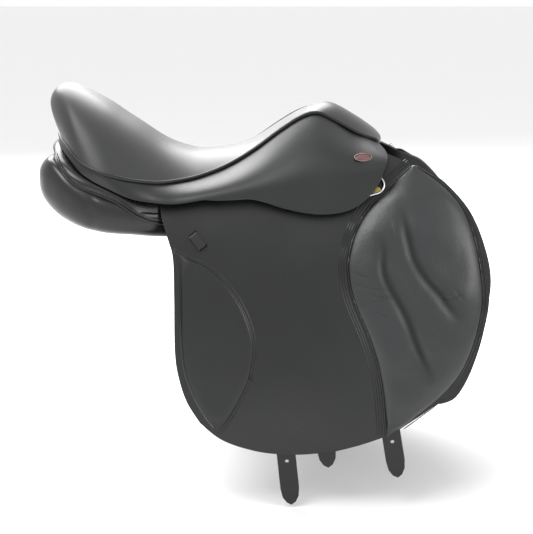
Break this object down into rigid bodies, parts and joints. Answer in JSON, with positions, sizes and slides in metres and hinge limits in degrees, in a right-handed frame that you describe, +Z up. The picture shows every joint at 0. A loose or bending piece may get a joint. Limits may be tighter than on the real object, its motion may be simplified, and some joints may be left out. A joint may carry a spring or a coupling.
{
  "type": "english saddle",
  "caption": "General purpose riding saddle with a deep seat, lifting flaps with knee and thigh pads, girth straps, flocked panels and stirrup bars.",
  "frame": {"origin": "on the middle plane, under the deepest point of the seat, level with the lowest line of the panels where they bear on the horse's back", "axes": "+X towards the pommel, +Y to the rider's left, +Z up"},
  "size_m": [0.6065, 0.409, 0.5477],
  "materials": {
    "seat_leather": "smooth, soft sheen",
    "foam": "matt",
    "piping_leather": "smooth",
    "skirt_leather": "fine grain",
    "badge": "satin",
    "roll_leather": "polished",
    "flap_leather": "fine grain",
    "sweat_flap_leather": "plain",
    "panel_leather": "polished",
    "tree_wood": "laminated, oiled",
    "plate_steel": "dark",
    "bright_steel": "bright",
    "brass": "satin",
    "web_fabric": "woven",
    "pad_leather": "soft grain",
    "strap_leather": "bridle leather"
  },
  "bodies": {
    "saddle": {"seat_cover": "seat_leather", "seat_foam": "foam", "seat_piping_right": "piping_leather", "seat_piping_left": "piping_leather", "skirt_right": "skirt_leather", "skirt_left": "skirt_leather", "blank_badges": "badge", "cantle_roll": "roll_leather", "flap_top_right": "flap_leather", "flap_top_left": "flap_leather", "head_facing": "panel_leather", "tree_head": "tree_wood", "head_plate": "plate_steel", "gullet_plate": "plate_steel", "tree_cantle": "tree_wood", "tree_rail_right": "tree_wood", "tree_rail_left": "tree_wood", "spring_steel_right": "plate_steel", "spring_steel_left": "plate_steel", "tree_rivets": "bright_steel", "seat_webs": "web_fabric", "stirrup_bar_right": "bright_steel", "stirrup_bar_left": "bright_steel", "stirrup_bar_rivets": "bright_steel", "catch_pins": "plate_steel", "girth_webs_right": "web_fabric", "girth_webs_left": "web_fabric", "panel_right": "panel_leather", "panel_left": "panel_leather", "panel_piping_right": "piping_leather", "panel_piping_left": "piping_leather", "sweat_flap_right": "sweat_flap_leather", "sweat_flap_left": "sweat_flap_leather", "point_pocket_right": "panel_leather", "point_pocket_left": "panel_leather"},
    "flap_right": {"flap_right": "flap_leather", "knee_pad_right": "pad_leather", "thigh_pad_right": "pad_leather", "keeper_right": "flap_leather", "dee_plate_right": "brass"},
    "skirt_lobe_right": {"skirt_lobe_right": "skirt_leather"},
    "dee_right": {"dee_ring_right": "bright_steel"},
    "catch_right": {"bar_catch_right": "bright_steel"},
    "rear_strap_right": {"rear_strap_right": "strap_leather"},
    "middle_strap_right": {"middle_strap_right": "strap_leather"},
    "front_strap_right": {"front_strap_right": "strap_leather"},
    "buckle_guard_right": {"buckle_guard_right": "strap_leather"},
    "flap_left": {"flap_left": "flap_leather", "knee_pad_left": "pad_leather", "thigh_pad_left": "pad_leather", "keeper_left": "flap_leather", "dee_plate_left": "brass"},
    "skirt_lobe_left": {"skirt_lobe_left": "skirt_leather"},
    "dee_left": {"dee_ring_left": "bright_steel"},
    "catch_left": {"bar_catch_left": "bright_steel"},
    "rear_strap_left": {"rear_strap_left": "strap_leather"},
    "middle_strap_left": {"middle_strap_left": "strap_leather"},
    "front_strap_left": {"front_strap_left": "strap_leather"},
    "buckle_guard_left": {"buckle_guard_left": "strap_leather"}
  },
  "joints": [
    {"name": "flap_lift_right", "type": "hinge", "parent": "saddle", "child": "flap_right", "pos_m": [0.111, -0.12537, 0.074], "axis": [-0.9868, -0.0708, -0.1458], "range_deg": [0, 90]},
    {"name": "skirt_lift_right", "type": "hinge", "parent": "flap_right", "child": "skirt_lobe_right", "pos_m": [0.111, -0.12537, 0.074], "axis": [-0.9868, -0.0708, -0.1458], "range_deg": [0, 85]},
    {"name": "dee_swing_right", "type": "hinge", "parent": "flap_right", "child": "dee_right", "pos_m": [0.21187, -0.11151, 0.07048], "axis": [0, -0.8994, 0.4371], "range_deg": [-4, 12]},
    {"name": "catch_turn_right", "type": "hinge", "parent": "saddle", "child": "catch_right", "pos_m": [0.12485, -0.12357, 0.05481], "axis": [0, 0.8994, -0.4371], "range_deg": [0, 75]},
    {"name": "rear_strap_swing_right", "type": "hinge", "parent": "saddle", "child": "rear_strap_right", "pos_m": [0.075, -0.11726, 0.02], "axis": [0, -0.9205, 0.3907], "range_deg": [-3, 3]},
    {"name": "middle_strap_swing_right", "type": "hinge", "parent": "saddle", "child": "middle_strap_right", "pos_m": [0.125, -0.11726, 0.02], "axis": [0, -0.9205, 0.3907], "range_deg": [-3, 3]},
    {"name": "front_strap_swing_right", "type": "hinge", "parent": "saddle", "child": "front_strap_right", "pos_m": [0.2, -0.11726, 0.02], "axis": [0, -0.9205, 0.3907], "range_deg": [-3, 3]},
    {"name": "guard_slide_right", "type": "slide", "parent": "middle_strap_right", "child": "buckle_guard_right", "axis": [-0.1198, 0.2723, 0.9547], "range_m": [0, 0.012]},
    {"name": "flap_lift_left", "type": "hinge", "parent": "saddle", "child": "flap_left", "pos_m": [0.111, 0.12537, 0.074], "axis": [0.9868, -0.0708, 0.1458], "range_deg": [0, 90]},
    {"name": "skirt_lift_left", "type": "hinge", "parent": "flap_left", "child": "skirt_lobe_left", "pos_m": [0.111, 0.12537, 0.074], "axis": [0.9868, -0.0708, 0.1458], "range_deg": [0, 85]},
    {"name": "dee_swing_left", "type": "hinge", "parent": "flap_left", "child": "dee_left", "pos_m": [0.21187, 0.11151, 0.07048], "axis": [0, -0.8994, -0.4371], "range_deg": [-4, 12]},
    {"name": "catch_turn_left", "type": "hinge", "parent": "saddle", "child": "catch_left", "pos_m": [0.12485, 0.12357, 0.05481], "axis": [0, 0.8994, 0.4371], "range_deg": [0, 75]},
    {"name": "rear_strap_swing_left", "type": "hinge", "parent": "saddle", "child": "rear_strap_left", "pos_m": [0.075, 0.11726, 0.02], "axis": [0, -0.9205, -0.3907], "range_deg": [-3, 3]},
    {"name": "middle_strap_swing_left", "type": "hinge", "parent": "saddle", "child": "middle_strap_left", "pos_m": [0.125, 0.11726, 0.02], "axis": [0, -0.9205, -0.3907], "range_deg": [-3, 3]},
    {"name": "front_strap_swing_left", "type": "hinge", "parent": "saddle", "child": "front_strap_left", "pos_m": [0.2, 0.11726, 0.02], "axis": [0, -0.9205, -0.3907], "range_deg": [-3, 3]},
    {"name": "guard_slide_left", "type": "slide", "parent": "middle_strap_left", "child": "buckle_guard_left", "axis": [-0.1198, -0.2723, 0.9547], "range_m": [0, 0.012]}
  ]
}
